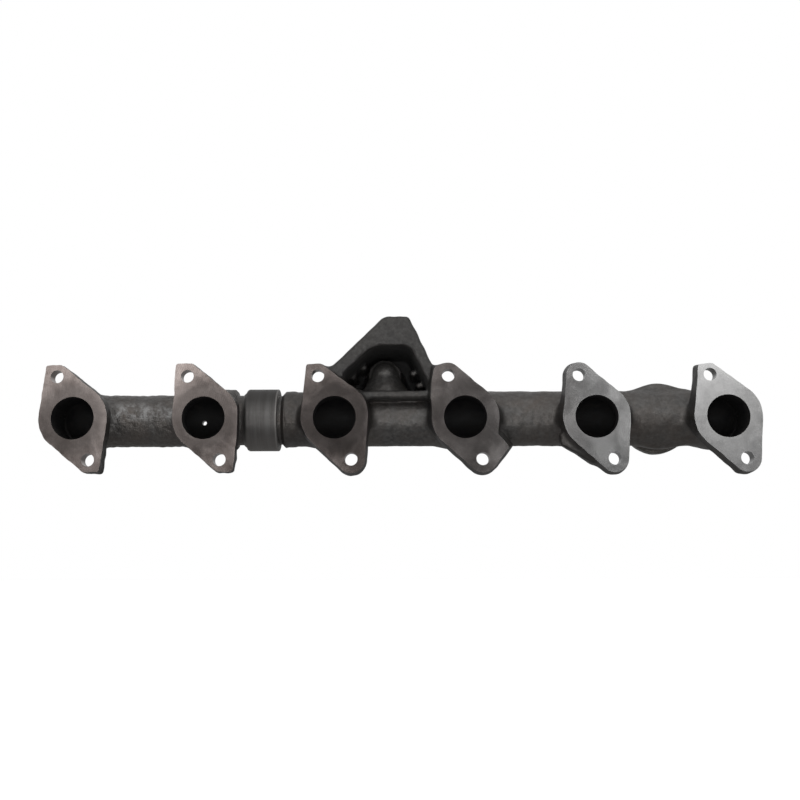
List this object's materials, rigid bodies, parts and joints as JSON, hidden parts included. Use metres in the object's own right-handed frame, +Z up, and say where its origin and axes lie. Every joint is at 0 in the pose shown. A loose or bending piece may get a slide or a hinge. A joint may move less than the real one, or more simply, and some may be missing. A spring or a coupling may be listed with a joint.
{
  "type": "exhaust manifold",
  "caption": "Cast log exhaust manifold for an inline engine, in two castings joined by a sliding sleeve, with a raised turbocharger pad.",
  "frame": {"origin": "on the cylinder-head face, midway between ports 3 and 4 at the height of the port bores", "axes": "+X along the row of ports from port 1 to port 6, +Y away from the cylinder head, +Z up towards the turbocharger pad"},
  "size_m": [0.756, 0.105, 0.1663],
  "materials": {
    "cast_iron": "as cast, flanges machined",
    "sleeve_steel": "turned",
    "ring_iron": "ground"
  },
  "bodies": {
    "rear_casting": {"rear_section": "cast_iron", "rear_inner_ring": "ring_iron", "rear_outer_ring": "ring_iron"},
    "sleeve": {"slip_sleeve": "sleeve_steel"},
    "seal_rings": {"front_outer_ring": "ring_iron", "front_inner_ring": "ring_iron"},
    "front_casting": {"front_section": "cast_iron"}
  },
  "joints": [
    {"name": "sleeve_slide", "type": "slide", "parent": "rear_casting", "child": "sleeve", "axis": [1, 0, 0], "range_m": [-0.002, 0.003]},
    {"name": "front_slide", "type": "slide", "parent": "sleeve", "child": "seal_rings", "axis": [1, 0, 0], "range_m": [-0.002, 0.004]},
    {"name": "front_turn", "type": "hinge", "parent": "seal_rings", "child": "front_casting", "pos_m": [-0.161, 0.05, 0.003], "axis": [1, 0, 0], "continuous": true}
  ]
}
